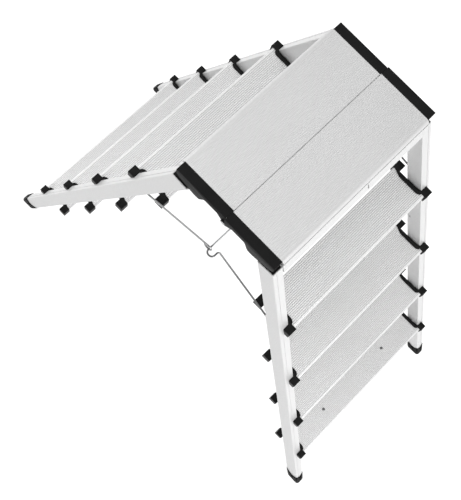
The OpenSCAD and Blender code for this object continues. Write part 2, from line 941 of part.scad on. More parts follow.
module side_rod_near() { color(steel) corner(-1, -1) side_rod(); }
module side_rod_far() { color(steel) corner(-1, 1) side_rod(); }

module bail() {
    half = [
        [stay_x, leg_foot_y - bend_r - clip_l - 1, stay_z],
        [stay_x, leg_foot_y, stay_z],
        [turn_w, knee_y, bar_z],
        [turn_w, turn_y, bar_z],
        [0, turn_y, bar_z]
    ];
    radii = [0, bend_r, knee_r, turn_r, turn_r];
    other = [for (i = [4:-1:0]) [half[i][0], -half[i][1], half[i][2]]];
    other_radii = [for (i = [4:-1:0]) radii[i]];
    color(steel) bent_wire(concat(half, other), concat(radii, other_radii));
}

stile_a_near();
stile_a_far();
stile_b_near();
stile_b_far();
rail_a();
rail_b();
tread_a1();
tread_a2();
tread_a3();
tread_a4();
tread_b1();
tread_b2();
tread_b3();
tread_b4();
end_cap_a1_near();
end_cap_a1_far();
end_cap_a2_near();
end_cap_a2_far();
end_cap_a3_near();
end_cap_a3_far();
end_cap_a4_near();
end_cap_a4_far();
end_cap_b1_near();
end_cap_b1_far();
end_cap_b2_near();
end_cap_b2_far();
end_cap_b3_near();
end_cap_b3_far();
end_cap_b4_near();
end_cap_b4_far();
tread_rivets_a();
tread_rivets_b();
tread_screws_b();
stile_rivet_b();
head_a_near();
head_a_far();
head_b_near();
head_b_far();
foot_a_near();
foot_a_far();
foot_b_near();
foot_b_far();
bumpers_a();
bumpers_b();
stay_clips_a();
stay_clips_b();
deck_a();
deck_b();
side_cap_a_near();
side_cap_a_far();
side_cap_b_near();
side_cap_b_far();
hinge_pins_a();
hinge_pins_b();
middle_pins();
side_rod_near();
side_rod_far();
bail();
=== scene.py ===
import math
import bmesh
import bpy
from mathutils import Matrix, Vector


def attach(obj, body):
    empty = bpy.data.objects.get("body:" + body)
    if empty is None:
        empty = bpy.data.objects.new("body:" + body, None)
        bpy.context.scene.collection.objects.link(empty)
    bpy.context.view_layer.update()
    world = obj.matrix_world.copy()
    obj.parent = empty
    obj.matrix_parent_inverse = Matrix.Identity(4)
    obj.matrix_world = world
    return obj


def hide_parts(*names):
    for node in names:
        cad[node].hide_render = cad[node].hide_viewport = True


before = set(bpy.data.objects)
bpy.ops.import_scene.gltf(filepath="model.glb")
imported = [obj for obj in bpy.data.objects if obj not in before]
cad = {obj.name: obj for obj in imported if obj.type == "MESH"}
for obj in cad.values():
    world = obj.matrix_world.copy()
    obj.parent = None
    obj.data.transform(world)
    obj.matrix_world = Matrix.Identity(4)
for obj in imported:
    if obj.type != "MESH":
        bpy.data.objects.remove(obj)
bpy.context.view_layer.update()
mm = 0.001

# Stiles. Each is one straight extruded bar of anodised aluminium, 25 by 38 mm, with a narrow
# groove down its front face. Drawing it through the die leaves faint lines along the bar.
step_rise, stile_run, stile_spread = 240 * mm, 97.7 * mm, 15.7 * mm
stile_lean = math.atan(stile_run / step_rise)


def link(tree, start, out, end, into):
    """Joins an output of one node to an input of another."""
    tree.links.new(start.outputs[out], end.inputs[into])


def node(tree, kind, **values):
    """Adds one node of a kind, with its settings."""
    made = tree.nodes.new(kind)
    for name, value in values.items():
        setattr(made, name, value)
    return made


def drawn_aluminium(name, turn, along, grey=0.69, rough=0.42, lines=0.035, relief=0.25):
    """Anodised extrusion: die lines run along one axis, with a faint cloudy tone and dulled patches."""
    line_scale, stretched_scale, cloud_scale = 700, 4, 9.0
    metal, tone_spread, gloss_spread, line_depth = 0.4, 0.02, 0.06, 0.06 * mm
    mat = bpy.data.materials.new(name)
    mat.use_nodes = True
    tree = mat.node_tree
    shader = tree.nodes["Principled BSDF"]
    shader.inputs["Metallic"].default_value = metal
    place = node(tree, "ShaderNodeTexCoord")
    die = node(tree, "ShaderNodeMapping")
    die.inputs["Rotation"].default_value = turn
    die.inputs["Scale"].default_value = [stretched_scale if n == along else line_scale for n in range(3)]
    streak = node(tree, "ShaderNodeTexNoise")
    streak.inputs["Scale"].default_value = 1.0
    streak.inputs["Detail"].default_value = 3.0
    cloud = node(tree, "ShaderNodeTexNoise")
    cloud.inputs["Scale"].default_value = cloud_scale
    cloud.inputs["Detail"].default_value = 4.0
    link(tree, place, "Object", die, "Vector")
    link(tree, die, "Vector", streak, "Vector")
    link(tree, place, "Object", cloud, "Vector")
    tone = node(tree, "ShaderNodeMapRange")
    tone.inputs["To Min"].default_value = -lines
    tone.inputs["To Max"].default_value = lines
    link(tree, streak, "Fac", tone, "Value")
    haze = node(tree, "ShaderNodeMapRange")
    haze.inputs["To Min"].default_value = grey - tone_spread
    haze.inputs["To Max"].default_value = grey + tone_spread
    link(tree, cloud, "Fac", haze, "Value")
    add = node(tree, "ShaderNodeMath", operation="ADD")
    tree.links.new(tone.outputs[0], add.inputs[0])
    tree.links.new(haze.outputs[0], add.inputs[1])
    colour = node(tree, "ShaderNodeCombineColor")
    for channel in ("Red", "Green", "Blue"):
        tree.links.new(add.outputs[0], colour.inputs[channel])
    link(tree, colour, "Color", shader, "Base Color")
    dull = node(tree, "ShaderNodeMapRange")
    dull.inputs["To Min"].default_value = rough - gloss_spread
    dull.inputs["To Max"].default_value = rough + gloss_spread
    link(tree, cloud, "Fac", dull, "Value")
    tree.links.new(dull.outputs[0], shader.inputs["Roughness"])
    bump = node(tree, "ShaderNodeBump")
    bump.inputs["Strength"].default_value = relief
    bump.inputs["Distance"].default_value = line_depth
    link(tree, streak, "Fac", bump, "Height")
    link(tree, bump, "Normal", shader, "Normal")
    return mat


def paint(names, mat):
    """Gives a finish to CAD nodes that keep their own shape."""
    for name in names:
        piece = cad[name]
        piece.data.materials.clear()
        piece.data.materials.append(mat)


stile_a_finish = drawn_aluminium("stile_a_aluminium", (0, -stile_lean, 0), 2)
stile_b_finish = drawn_aluminium("stile_b_aluminium", (0, stile_lean, 0), 2)
paint(["stile_a_near", "stile_a_far"], stile_a_finish)
paint(["stile_b_near", "stile_b_far"], stile_b_finish)

# Rails between the stile tops. Each is a length of aluminium angle with its ends tabbed and
# riveted to the stiles, and its die lines run across the ladder.
rail_finish = drawn_aluminium("rail_aluminium", (0, 0, 0), 1)
paint(["rail_a", "rail_b"], rail_finish)

# Treads. Each is a hollow extrusion, open below, 98 mm deep with grip ribs along its top.
# The ribs are part of the extrusion, with painted shade in the valleys between them and a painted highlight
# along the front edge.
tread_finish = drawn_aluminium("tread_aluminium", (0, 0, 0), 1, grey=0.79, lines=0.02, relief=0.1)


def place_on(tree):
    """The three coordinates of a point of the surface, in metres."""
    place = node(tree, "ShaderNodeTexCoord")
    parts = node(tree, "ShaderNodeSeparateXYZ")
    link(tree, place, "Object", parts, "Vector")
    return parts


def shade_by(mat, measure, plain, full, low, high):
    """Scales a finish's tone, from low where the measure is at plain to high where it is at full."""
    tree = mat.node_tree
    shader = tree.nodes["Principled BSDF"]
    before = shader.inputs["Base Color"].links[0].from_socket
    share = node(tree, "ShaderNodeMapRange")
    share.inputs["From Min"].default_value = plain
    share.inputs["From Max"].default_value = full
    share.inputs["To Min"].default_value = low
    share.inputs["To Max"].default_value = high
    tree.links.new(measure, share.inputs["Value"])
    toned = node(tree, "ShaderNodeVectorMath", operation="SCALE")
    tree.links.new(before, toned.inputs[0])
    tree.links.new(share.outputs[0], toned.inputs["Scale"])
    tree.links.new(toned.outputs[0], shader.inputs["Base Color"])


def paint_valley_shade(mat, crest, valley, share):
    """Painted shade on grip ribs: the tone falls by a share from the ribs' crests down to the valleys
    between them.
    """
    tree = mat.node_tree
    parts = place_on(tree)
    level = node(tree, "ShaderNodeMath", operation="WRAP")
    link(tree, parts, "Z", level, 0)
    level.inputs[1].default_value = step_rise / 2
    level.inputs[2].default_value = -step_rise / 2
    shade_by(mat, level.outputs[0], -valley, -crest, 1 - share, 1.0)


def paint_nose_highlight(mat, front, top, nose, share):
    """Painted highlight along the front edge: the tone rises by a share within the last few millimetres of
    each tread.
    """
    tree = mat.node_tree
    parts = place_on(tree)
    reach = node(tree, "ShaderNodeMath", operation="ABSOLUTE")
    link(tree, parts, "X", reach, 0)
    edge = node(tree, "ShaderNodeMath", operation="MULTIPLY_ADD")
    link(tree, parts, "Z", edge, 0)
    edge.inputs[1].default_value = -stile_run / step_rise
    edge.inputs[2].default_value = front + top * stile_run / step_rise
    inside = node(tree, "ShaderNodeMath", operation="SUBTRACT")
    tree.links.new(edge.outputs[0], inside.inputs[0])
    tree.links.new(reach.outputs[0], inside.inputs[1])
    shade_by(mat, inside.outputs[0], nose, nose / 2, 1.0, 1 + share)


rib_crest, rib_valley, valley_shade = 1.3 * mm, 1.9 * mm, 0.2
nose_front, platform_top, nose_width, nose_highlight = 125.21 * mm, 1200 * mm, 5 * mm, 0.28
# Painted shade in the rib valleys.
paint_valley_shade(tread_finish, rib_crest, rib_valley, valley_shade)
# Painted highlight along each tread's front edge.
paint_nose_highlight(tread_finish, nose_front, platform_top, nose_width, nose_highlight)
paint([f"tread_{s}{n}" for s in "ab" for n in range(1, 5)], tread_finish)

# Tread end caps. Black moulded polyamide with softly rounded edges: a plate that closes the
# tread, a flange over its top and a block at the front and back of the stile.


def moulded_plastic(name, tone, rough, grain, depth, shine=0.18):
    """Fine spark-eroded grain with slight changes of gloss, as a steel mould leaves it."""
    patch_scale, gloss_spread, grain_strength = 30.0, 0.07, 0.35
    dark_place, light_place, darkest, lightest = 0.3, 0.7, 0.85, 1.2
    mat = bpy.data.materials.new(name)
    mat.use_nodes = True
    tree = mat.node_tree
    shader = tree.nodes["Principled BSDF"]
    shader.inputs["Specular IOR Level"].default_value = shine
    place = node(tree, "ShaderNodeTexCoord")
    fine = node(tree, "ShaderNodeTexNoise")
    fine.inputs["Scale"].default_value = grain
    fine.inputs["Detail"].default_value = 2.0
    broad = node(tree, "ShaderNodeTexNoise")
    broad.inputs["Scale"].default_value = patch_scale
    broad.inputs["Detail"].default_value = 3.0
    link(tree, place, "Object", fine, "Vector")
    link(tree, place, "Object", broad, "Vector")
    ramp = node(tree, "ShaderNodeValToRGB")
    ramp.color_ramp.elements[0].position = dark_place
    ramp.color_ramp.elements[1].position = light_place
    ramp.color_ramp.elements[0].color = (tone * darkest, tone * darkest, tone * (darkest + 0.01), 1)
    ramp.color_ramp.elements[1].color = (tone * lightest, tone * lightest, tone * lightest, 1)
    link(tree, broad, "Fac", ramp, "Fac")
    link(tree, ramp, "Color", shader, "Base Color")
    gloss = node(tree, "ShaderNodeMapRange")
    gloss.inputs["To Min"].default_value = rough - gloss_spread
    gloss.inputs["To Max"].default_value = rough + gloss_spread
    link(tree, broad, "Fac", gloss, "Value")
    tree.links.new(gloss.outputs[0], shader.inputs["Roughness"])
    bump = node(tree, "ShaderNodeBump")
    bump.inputs["Strength"].default_value = grain_strength
    bump.inputs["Distance"].default_value = depth
    link(tree, fine, "Fac", bump, "Height")
    link(tree, bump, "Normal", shader, "Normal")
    return mat


# Points of a CAD mesh that lie closer than this are one point.
weld = 0.005 * mm


def soft_edged(name, width, steps, mat, body):
    """A moulded piece: the CAD shape with its edges rounded, which stands for that node."""
    flat, corner, crease = math.radians(1), math.radians(40), math.radians(35)
    mesh = cad[name].data.copy()
    work = bmesh.new()
    work.from_mesh(mesh)
    bmesh.ops.remove_doubles(work, verts=work.verts, dist=weld)
    bmesh.ops.dissolve_limit(work, angle_limit=flat, verts=work.verts, edges=work.edges)
    work.to_mesh(mesh)
    work.free()
    mesh.name = name + "_moulded"
    mesh.materials.clear()
    mesh.materials.append(mat)
    shape = bpy.data.objects.new(name + "_moulded", mesh)
    bpy.context.scene.collection.objects.link(shape)
    edge = shape.modifiers.new("edge", "BEVEL")
    edge.width = width
    edge.segments = steps
    edge.limit_method = "ANGLE"
    edge.angle_limit = corner
    edge.use_clamp_overlap = True
    edge.harden_normals = False
    seen = shape.evaluated_get(bpy.context.evaluated_depsgraph_get())
    done = bpy.data.meshes.new_from_object(seen)
    shape.modifiers.clear()
    shape.data = done
    for face in done.polygons:
        face.use_smooth = True
    done.set_sharp_from_angle(angle=crease)
    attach(shape, body)
    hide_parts(name)


cap_finish = moulded_plastic("end_cap_plastic", tone=0.004, rough=0.5, grain=2200, depth=0.05 * mm)
cap_round = 0.6 * mm
for s in "ab":
    for n in range(1, 5):
        for end in ("near", "far"):
            name = f"end_cap_{s}{n}_{end}"
            soft_edged(name, cap_round, 2, cap_finish, f"section_{s}")

# Platform decks. Two ribbed aluminium extrusions meet at the middle seam, each with a rounded
# nose. Their ends are pushed into the side caps, and their die lines run across the ladder.
deck_finish = drawn_aluminium("deck_aluminium", (0, 0, 0), 1, grey=0.64, lines=0.003, relief=0.01)
paint(["deck_a", "deck_b"], deck_finish)

# Platform side caps. Black polyamide mouldings, duller than the end caps, that close the decks'
# ends. They carry the pins of the stile hinges and of the hinge at the middle seam.
side_finish = moulded_plastic("side_cap_plastic", tone=0.011, rough=0.5, grain=1600,
                              depth=0.06 * mm, shine=0.05)
side_round = 0.35 * mm
for s in "ab":
    for end in ("near", "far"):
        soft_edged(f"side_cap_{s}_{end}", side_round, 2, side_finish, f"platform_{s}")

# Seam lips. A thin tongue under the top plate of each side cap of half b closes the seam between
# the two caps from below. It lies free under half a's cap, which lifts off it when folding.
lip_low, lip_high = Vector((-1.2, 194.4, 1196.6)) * mm, Vector((1.6, 206.7, 1197.2)) * mm
lip_tilt, lip_round = 0.45 * mm, 0.15 * mm
for end, y_side in (("near", -1), ("far", 1)):
    work = bmesh.new()
    bmesh.ops.create_cube(work, size=1)
    for vert in work.verts:
        share = vert.co + Vector((0.5, 0.5, 0.5))
        vert.co = Vector([lip_low[n] + share[n] * (lip_high[n] - lip_low[n]) for n in range(3)])
        vert.co.y *= y_side
        vert.co.z += share.x * lip_tilt
    bmesh.ops.bevel(work, geom=work.edges, offset=lip_round, segments=2, affect="EDGES")
    bmesh.ops.recalc_face_normals(work, faces=work.faces)
    mesh = bpy.data.meshes.new(f"seam_lip_{end}")
    work.to_mesh(mesh)
    work.free()
    mesh.materials.append(side_finish)
    lip = bpy.data.objects.new(f"seam_lip_{end}", mesh)
    bpy.context.scene.collection.objects.link(lip)
    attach(lip, "platform_b")

# Heads. Black mouldings pushed into the stile tops, with the lug of the stile hinge.
# A pin holds each lug between the walls of the side cap.
head_round = 0.5 * mm
for s in "ab":
    for end in ("near", "far"):
        soft_edged(f"head_{s}_{end}", head_round, 2, cap_finish, f"section_{s}")

# Feet. Black rubber shoes pushed over the stiles' ends: a 2 mm wall with rounded corners, a wavy
# top edge that rises at the corners, and a thick sole cut level with the floor.
foot_finish = moulded_plastic("foot_rubber", tone=0.004, rough=0.38, grain=900,
                              depth=0.04 * mm, shine=0.008)
stile_top = Vector((112.5, 210.6, 1200)) * mm
stile_flare = math.atan(stile_spread / math.hypot(stile_run, step_rise))
stile_turn = Matrix.Rotation(-stile_lean, 3, "Y") @ Matrix.Rotation(stile_flare, 3, "X")
stile_deep, stile_wide = 38 * mm, 25 * mm
stile_long = stile_top.z / (math.cos(stile_lean) * math.cos(stile_flare))
shoe_front, shoe_rear, shoe_dip, shoe_sole = 59 * mm, 76 * mm, 13 * mm, 8 * mm
# Rings of the wall, from the hollow over the rim and down: distance out from the stile and corner
# radius, with the distance below the wavy edge, and then with the height above the floor, in mm
rim_rings = ((0.1, 1.7, 0.5), (0.5, 2.4, 0.1), (1.0, 3.5, 0), (1.5, 4.5, 0.1), (2.0, 5.6, 0.7))
sole_rings = ((2.0, 7.2, 9), (2.0, 8.5, 6.5), (2.0, 8.5, 1.2), (1.6, 8.1, 0.3), (0.9, 7.4, 0))
corner_points, side_points = 8, 8
sharp_turn = math.radians(40)


def shoe_loop(grow, radius):
    """Points of a rounded rectangle round the stile's section, with as many on every loop."""
    low_x, high_x = -stile_deep - grow + radius, grow - radius
    low_y, high_y = -stile_wide - grow + radius, grow - radius
    centres = ((high_x, high_y), (low_x, high_y), (low_x, low_y), (high_x, low_y))
    corners = []
    for quarter, (x, y) in enumerate(centres):
        for n in range(corner_points):
            turn = math.radians(90 * quarter + 90 * n / (corner_points - 1))
            corners.append((x + radius * math.cos(turn), y + radius * math.sin(turn)))
    full = []
    for n, here in enumerate(corners):
        full.append(here)
        ahead = corners[(n + 1) % len(corners)]
        if (n + 1) % corner_points == 0:
            for step in range(1, side_points):
                full.append(tuple(here[k] + (ahead[k] - here[k]) * step / side_points for k in (0, 1)))
    return full


def shoe_edge(x, y):
    """Height of the shoe's wavy edge above the stile's end, at a place in the stile's section."""
    along = min(max(-x / stile_deep, 0), 1)
    across = min(max(-y / stile_wide, 0), 1)
    dip = shoe_dip * max(math.sin(math.pi * along), math.sin(math.pi * across))
    return shoe_front + (shoe_rear - shoe_front) * along ** 3 - dip


def on_level(x, y, level):
    """Place on a line along the stile where it crosses a height above the floor."""
    foot = stile_turn @ Vector((x, y, 0))
    rise = stile_turn @ Vector((0, 0, 1))
    return stile_top + foot + rise * ((level - stile_top.z - foot.z) / rise.z)


def shoe(name, x_side, y_side, body):
    """One closed shoe: the hollow, the rim, the outer wall and the sole are rings of equal length."""
    hollow_grow, hollow_radius = rim_rings[0][0] * mm, rim_rings[0][1] * mm
    rings = [[on_level(x, y, shoe_sole) for x, y in shoe_loop(hollow_grow, hollow_radius)]]
    for grow, radius, drop in rim_rings:
        rings.append([stile_top + stile_turn @ Vector((x, y, shoe_edge(x, y) - drop * mm - stile_long))
                      for x, y in shoe_loop(grow * mm, radius * mm)])
    for grow, radius, level in sole_rings:
        rings.append([on_level(x, y, level * mm) for x, y in shoe_loop(grow * mm, radius * mm)])
    work = bmesh.new()
    loops = [[work.verts.new((place.x * x_side, place.y * y_side, place.z)) for place in ring]
             for ring in rings]
    count = len(loops[0])
    for one, two in zip(loops, loops[1:]):
        for n in range(count):
            work.faces.new((one[n], one[(n + 1) % count], two[(n + 1) % count], two[n]))
    work.faces.new(loops[0])
    work.faces.new(loops[-1])
    bmesh.ops.recalc_face_normals(work, faces=work.faces)
    mesh = bpy.data.meshes.new(name + "_shoe")
    work.to_mesh(mesh)
    work.free()
    mesh.materials.append(foot_finish)
    for face in mesh.polygons:
        face.use_smooth = True
    mesh.set_sharp_from_angle(angle=sharp_turn)
    shape = bpy.data.objects.new(name + "_shoe", mesh)
    bpy.context.scene.collection.objects.link(shape)
    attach(shape, body)
    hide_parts(name)


for s, x_side in (("a", -1), ("b", 1)):
    for end, y_side in (("near", -1), ("far", 1)):
        shoe(f"foot_{s}_{end}", x_side, y_side, f"section_{s}")

# Bumpers and clips. Small rubber stops behind the stile tops, and the moulded clips inside the
# stiles that the ends of the wire stays turn in.
bumper_round, clip_round = 0.8 * mm, 0.5 * mm
for s in "ab":
    soft_edged(f"bumpers_{s}", bumper_round, 2, foot_finish, f"section_{s}")
    soft_edged(f"stay_clips_{s}", clip_round, 2, cap_finish, f"section_{s}")


# Rivets, screws and pins. Zinc-plated steel. Blind rivets with a domed, hollow head hold the end
# caps and the rails to the stiles, and a lone one sits in a stile of section b. Two dark screws
# stand in that section's lowest tread, and plain pins run through the hinges.


def plated_steel(name, tone, rough):
    """Bright zinc plating with a fine cloudy grain and dulled spots."""
    metal, spot_scale, sharper, duller = 0.9, 350.0, 0.08, 0.1
    dark_place, light_place, lightest = 0.25, 0.75, 1.06
    dark_red, dark_green, dark_blue = 0.86, 0.87, 0.89
    mat = bpy.data.materials.new(name)
    mat.use_nodes = True
    tree = mat.node_tree
    shader = tree.nodes["Principled BSDF"]
    shader.inputs["Metallic"].default_value = metal
    place = node(tree, "ShaderNodeTexCoord")
    spots = node(tree, "ShaderNodeTexNoise")
    spots.inputs["Scale"].default_value = spot_scale
    spots.inputs["Detail"].default_value = 4.0
    link(tree, place, "Object", spots, "Vector")
    ramp = node(tree, "ShaderNodeValToRGB")
    ramp.color_ramp.elements[0].position = dark_place
    ramp.color_ramp.elements[1].position = light_place
    ramp.color_ramp.elements[0].color = (tone * dark_red, tone * dark_green, tone * dark_blue, 1)
    ramp.color_ramp.elements[1].color = (tone * lightest, tone * lightest, tone * lightest, 1)
    link(tree, spots, "Fac", ramp, "Fac")
    link(tree, ramp, "Color", shader, "Base Color")
    dull = node(tree, "ShaderNodeMapRange")
    dull.inputs["To Min"].default_value = rough - sharper
    dull.inputs["To Max"].default_value = rough + duller
    link(tree, spots, "Fac", dull, "Value")
    tree.links.new(dull.outputs[0], shader.inputs["Roughness"])
    return mat


fixed_seed = 3
head_sides, head_rings, shank_sides = 24, 6, 20


def fastener_tree(name):
    """Node tree that stands one fastener on every point, with its head along the point's 'out' vector."""
    tree = bpy.data.node_groups.new(name, "GeometryNodeTree")
    face = tree.interface
    face.new_socket("Geometry", in_out="INPUT", socket_type="NodeSocketGeometry")
    sizes = (("Head Diameter", 9.6), ("Head Height", 1.5), ("Rim Height", 0.6),
             ("Hollow Diameter", 2.6), ("Hollow Depth", 0.4),
             ("Shank Diameter", 4.8), ("Shank Length", 8))
    for label, value in sizes:
        size = face.new_socket(label, in_out="INPUT", socket_type="NodeSocketFloat")
        size.default_value = value * mm
    face.new_socket("Seed", in_out="INPUT", socket_type="NodeSocketInt").default_value = fixed_seed
    face.new_socket("Finish", in_out="INPUT", socket_type="NodeSocketMaterial")
    face.new_socket("Geometry", in_out="OUTPUT", socket_type="NodeSocketGeometry")
    given = node(tree, "NodeGroupInput")
    result = node(tree, "NodeGroupOutput")

    def sum_of(how, one, two):
        """Result of one sum on two numbers or fields."""
        made = node(tree, "ShaderNodeMath", operation=how)
        for slot, value in enumerate((one, two)):
            if isinstance(value, (int, float)):
                made.inputs[slot].default_value = value
            else:
                tree.links.new(value, made.inputs[slot])
        return made.outputs[0]

    head_r = sum_of("MULTIPLY", given.outputs["Head Diameter"], 0.5)
    head = node(tree, "GeometryNodeMeshCylinder", fill_type="TRIANGLE_FAN")
    head.inputs["Vertices"].default_value = head_sides
    head.inputs["Fill Segments"].default_value = head_rings
    tree.links.new(head_r, head.inputs["Radius"])
    tree.links.new(given.outputs["Rim Height"], head.inputs["Depth"])
    where = node(tree, "GeometryNodeInputPosition")
    parts = node(tree, "ShaderNodeSeparateXYZ")
    link(tree, where, "Position", parts, "Vector")
    x2 = sum_of("MULTIPLY", parts.outputs["X"], parts.outputs["X"])
    y2 = sum_of("MULTIPLY", parts.outputs["Y"], parts.outputs["Y"])
    radius = sum_of("SQRT", sum_of("ADD", x2, y2), 0)
    share = sum_of("DIVIDE", radius, head_r)
    above = sum_of("GREATER_THAN", parts.outputs["Z"], 0)
    fall = sum_of("SUBTRACT", 1, sum_of("MULTIPLY", share, share))
    bowl = sum_of("SQRT", sum_of("MAXIMUM", fall, 0), 0)
    rise = sum_of("SUBTRACT", given.outputs["Head Height"], given.outputs["Rim Height"])
    dome = sum_of("MULTIPLY", bowl, rise)
    hole_r = sum_of("MULTIPLY", given.outputs["Hollow Diameter"], 0.5)
    in_hole = sum_of("LESS_THAN", radius, hole_r)
    dent = sum_of("MULTIPLY", in_hole, given.outputs["Hollow Depth"])
    lift = sum_of("MULTIPLY", above, sum_of("SUBTRACT", dome, dent))
    up_by = sum_of("ADD", lift, sum_of("MULTIPLY", given.outputs["Rim Height"], 0.5))
    offset = node(tree, "ShaderNodeCombineXYZ")
    tree.links.new(up_by, offset.inputs["Z"])
    domed = node(tree, "GeometryNodeSetPosition")
    link(tree, head, "Mesh", domed, "Geometry")
    link(tree, offset, "Vector", domed, "Offset")
    shank = node(tree, "GeometryNodeMeshCylinder", fill_type="NGON")
    shank.inputs["Vertices"].default_value = shank_sides
    tree.links.new(sum_of("MULTIPLY", given.outputs["Shank Diameter"], 0.5), shank.inputs["Radius"])
    tree.links.new(given.outputs["Shank Length"], shank.inputs["Depth"])
    down = node(tree, "ShaderNodeCombineXYZ")
    tree.links.new(sum_of("MULTIPLY", given.outputs["Shank Length"], -0.5), down.inputs["Z"])
    sunk = node(tree, "GeometryNodeTransform")
    link(tree, shank, "Mesh", sunk, "Geometry")
    link(tree, down, "Vector", sunk, "Translation")
    whole = node(tree, "GeometryNodeJoinGeometry")
    link(tree, domed, "Geometry", whole, "Geometry")
    link(tree, sunk, "Geometry", whole, "Geometry")
    out = node(tree, "GeometryNodeInputNamedAttribute", data_type="FLOAT_VECTOR")
    out.inputs["Name"].default_value = "out"
    aim = node(tree, "FunctionNodeAlignRotationToVector", axis="Z")
    link(tree, out, "Attribute", aim, "Vector")
    spin = node(tree, "FunctionNodeRandomValue", data_type="FLOAT")
    # Input 3 is the highest value of a float draw, here a full turn, and output 1 is the draw.
    spin.inputs[3].default_value = round(2 * math.pi, 3)
    link(tree, given, "Seed", spin, "Seed")
    twist = node(tree, "FunctionNodeAxisAngleToRotation")
    tree.links.new(spin.outputs[1], twist.inputs["Angle"])
    turned = node(tree, "FunctionNodeRotateRotation", rotation_space="LOCAL")
    link(tree, aim, "Rotation", turned, "Rotation")
    link(tree, twist, "Rotation", turned, "Rotate By")
    stand = node(tree, "GeometryNodeInstanceOnPoints")
    link(tree, given, "Geometry", stand, "Points")
    link(tree, whole, "Geometry", stand, "Instance")
    link(tree, turned, "Rotation", stand, "Rotation")
    real = node(tree, "GeometryNodeRealizeInstances")
    link(tree, stand, "Instances", real, "Geometry")
    coat = node(tree, "GeometryNodeSetMaterial")
    link(tree, real, "Geometry", coat, "Geometry")
    link(tree, given, "Finish", coat, "Material")
    link(tree, coat, "Geometry", result, "Geometry")
    return tree


def find_fasteners(name):
    """Place, direction, length and widths of each loose pin-like solid in a CAD node."""
    even, end_depth = 0.05 * mm, 0.2 * mm
    work = bmesh.new()
    work.from_mesh(cad[name].data)
    bmesh.ops.remove_doubles(work, verts=work.verts, dist=weld)
    seen, found = set(), []
    for start in work.verts:
        if start in seen:
            continue
        group, queue = [], [start]
        seen.add(start)
        while queue:
            here = queue.pop()
            group.append(here.co.copy())
            for edge in here.link_edges:
                other = edge.other_vert(here)
                if other not in seen:
                    seen.add(other)
                    queue.append(other)
        low = Vector([min(co[n] for co in group) for n in range(3)])
        high = Vector([max(co[n] for co in group) for n in range(3)])
        span = high - low
        middle = (low + high) / 2
        # A rivet along Y is as wide in X as in Z, and a screw stands along Z.
        axis = 1 if abs(span[0] - span[2]) < even else 2
        across = [n for n in range(3) if n != axis]
        ends = []
        for level in (low[axis], high[axis]):
            near = [co for co in group if abs(co[axis] - level) < end_depth]
            ends.append(max(math.hypot(*(co[n] - middle[n] for n in across)) for co in near))
        way = 1 if ends[1] >= ends[0] else -1
        top = middle.copy()
        top[axis] = high[axis] if way > 0 else low[axis]
        out = Vector((0, 0, 0))
        out[axis] = way
        found.append((top, out, span[axis], 2 * max(ends)))
    work.free()
    return found


def stand_fasteners(name, body, tree, head, hollow, finish):
    """Runs the tree on the places found in a CAD node, and puts the mesh in the node's stead."""
    rim_share, dent_share, shank_share, short_by = 0.4, 0.3, 0.5, 0.05 * mm
    groups = {}
    for top, out, length, width in find_fasteners(name):
        groups.setdefault((round(length / mm, 1), round(width / mm, 1)), []).append((top, out))
    joined = bmesh.new()
    for (length, width), spots in groups.items():
        high = head * width * mm
        base = bpy.data.meshes.new(name + "_spots")
        base.from_pydata([top - out * high for top, out in spots], [], [])
        ways = base.attributes.new("out", "FLOAT_VECTOR", "POINT")
        for n, (top, out) in enumerate(spots):
            ways.data[n].vector = out
        holder = bpy.data.objects.new(name + "_spots", base)
        bpy.context.scene.collection.objects.link(holder)
        maker = holder.modifiers.new("fasteners", "NODES")
        maker.node_group = tree
        ids = {item.name: item.identifier for item in tree.interface.items_tree
               if item.item_type == "SOCKET" and item.in_out == "INPUT"}
        maker[ids["Head Diameter"]] = width * mm
        maker[ids["Head Height"]] = high
        maker[ids["Rim Height"]] = rim_share * high
        maker[ids["Hollow Diameter"]] = hollow * width * mm
        maker[ids["Hollow Depth"]] = dent_share * high
        maker[ids["Shank Diameter"]] = shank_share * width * mm
        maker[ids["Shank Length"]] = length * mm - high - short_by
        maker[ids["Seed"]] = fixed_seed
        maker[ids["Finish"]] = finish
        seen = holder.evaluated_get(bpy.context.evaluated_depsgraph_get())
        made = bpy.data.meshes.new_from_object(seen)
        joined.from_mesh(made)
        bpy.data.objects.remove(holder)
    mesh = bpy.data.meshes.new(name + "_set")
    joined.to_mesh(mesh)
    joined.free()
    mesh.materials.append(finish)
    for face in mesh.polygons:
        face.use_smooth = True
    mesh.set_sharp_from_angle(angle=sharp_turn)
    shape = bpy.data.objects.new(name + "_set", mesh)
    bpy.context.scene.collection.objects.link(shape)
    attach(shape, body)
    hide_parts(name)


# Heights of the heads and widths of the hollows in them, as shares of the heads' widths
tread_head, lone_head, rivet_hollow, screw_hollow = 0.156, 0.17, 0.3, 0.5
steel_finish = plated_steel("fastener_steel", tone=0.5, rough=0.3)
rivet_tree = fastener_tree("blind_rivets")
for s in "ab":
    stand_fasteners(f"tread_rivets_{s}", f"section_{s}", rivet_tree, tread_head, rivet_hollow, steel_finish)
stand_fasteners("stile_rivet_b", "section_b", rivet_tree, lone_head, rivet_hollow, steel_finish)
dark_steel = plated_steel("screw_steel", tone=0.16, rough=0.4)
stand_fasteners("tread_screws_b", "section_b", rivet_tree, lone_head, screw_hollow, dark_steel)
paint(["hinge_pins_a", "hinge_pins_b", "middle_pins"], steel_finish)

# Wire stays. Round zinc-plated steel wire, 3.8 mm thick, bent cold. Their ends turn in the
# clips, and the bail's cross bar carries a painted highlight.
rod_finish = plated_steel("side_rod_steel", tone=0.42, rough=0.33)
bail_finish = plated_steel("bail_steel", tone=0.22, rough=0.33)
bar_half, highlight_fade, highlight_gain = 212 * mm, 4 * mm, 3.0


